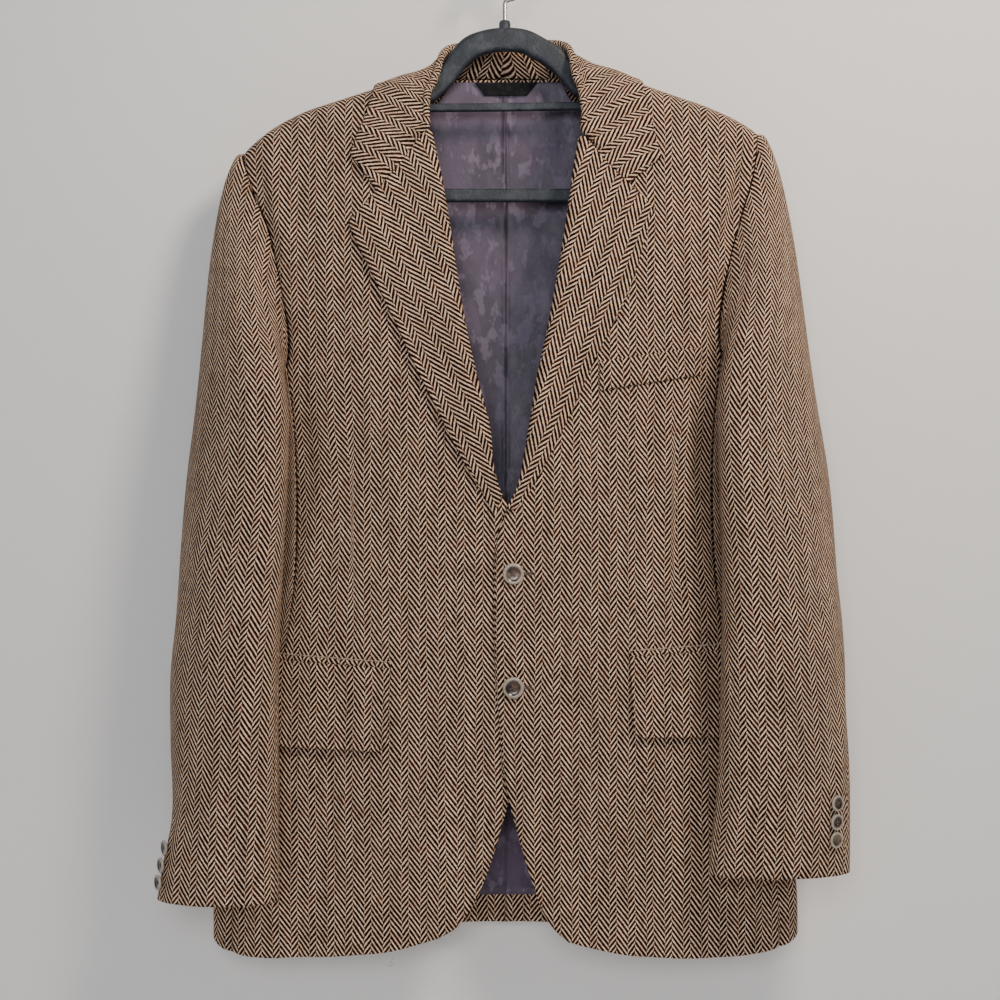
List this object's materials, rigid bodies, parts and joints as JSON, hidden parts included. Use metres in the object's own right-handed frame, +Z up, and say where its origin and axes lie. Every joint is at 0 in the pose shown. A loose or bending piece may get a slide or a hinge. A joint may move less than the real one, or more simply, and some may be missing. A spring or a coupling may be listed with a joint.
{
  "type": "tweed jacket on coat hanger",
  "caption": "Single-breasted herringbone tweed jacket with notch lapels, flap pockets and buttoned cuffs, hanging flat and empty on a moulded coat hanger.",
  "frame": {"origin": "inner top of the hanger's hook, where it rests on a rail", "axes": "+X to the right as seen from the front, -Y out of the jacket's fronts, +Z up"},
  "size_m": [0.6446, 0.1419, 0.9615],
  "materials": {
    "tweed": "brushed woollen herringbone, cream on dark brown",
    "lining_satin": "purple-grey satin",
    "label_satin": "dark woven satin, blank",
    "button_horn": "polished imitation horn",
    "hanger_plastic": "dimpled slate-grey moulding",
    "hook_steel": "bright plated wire"
  },
  "bodies": {
    "root": {"front_left": "tweed", "side_left": "tweed", "back_left": "tweed", "top_sleeve_left": "tweed", "under_sleeve_left": "tweed", "lapel_left": "tweed", "flap_left": "tweed", "jet_left": "tweed", "lining_left": "lining_satin", "front_right": "tweed", "side_right": "tweed", "back_right": "tweed", "top_sleeve_right": "tweed", "under_sleeve_right": "tweed", "lapel_right": "tweed", "flap_right": "tweed", "jet_right": "tweed", "lining_right": "lining_satin", "collar": "tweed", "breast_welt": "tweed", "neck_label": "label_satin", "front_button_1": "button_horn", "front_button_2": "button_horn", "cuff_button_left_1": "button_horn", "cuff_button_left_2": "button_horn", "cuff_button_left_3": "button_horn", "cuff_button_right_1": "button_horn", "cuff_button_right_2": "button_horn", "cuff_button_right_3": "button_horn", "hanger": "hanger_plastic", "hanger_hook": "hook_steel"}
  },
  "joints": []
}
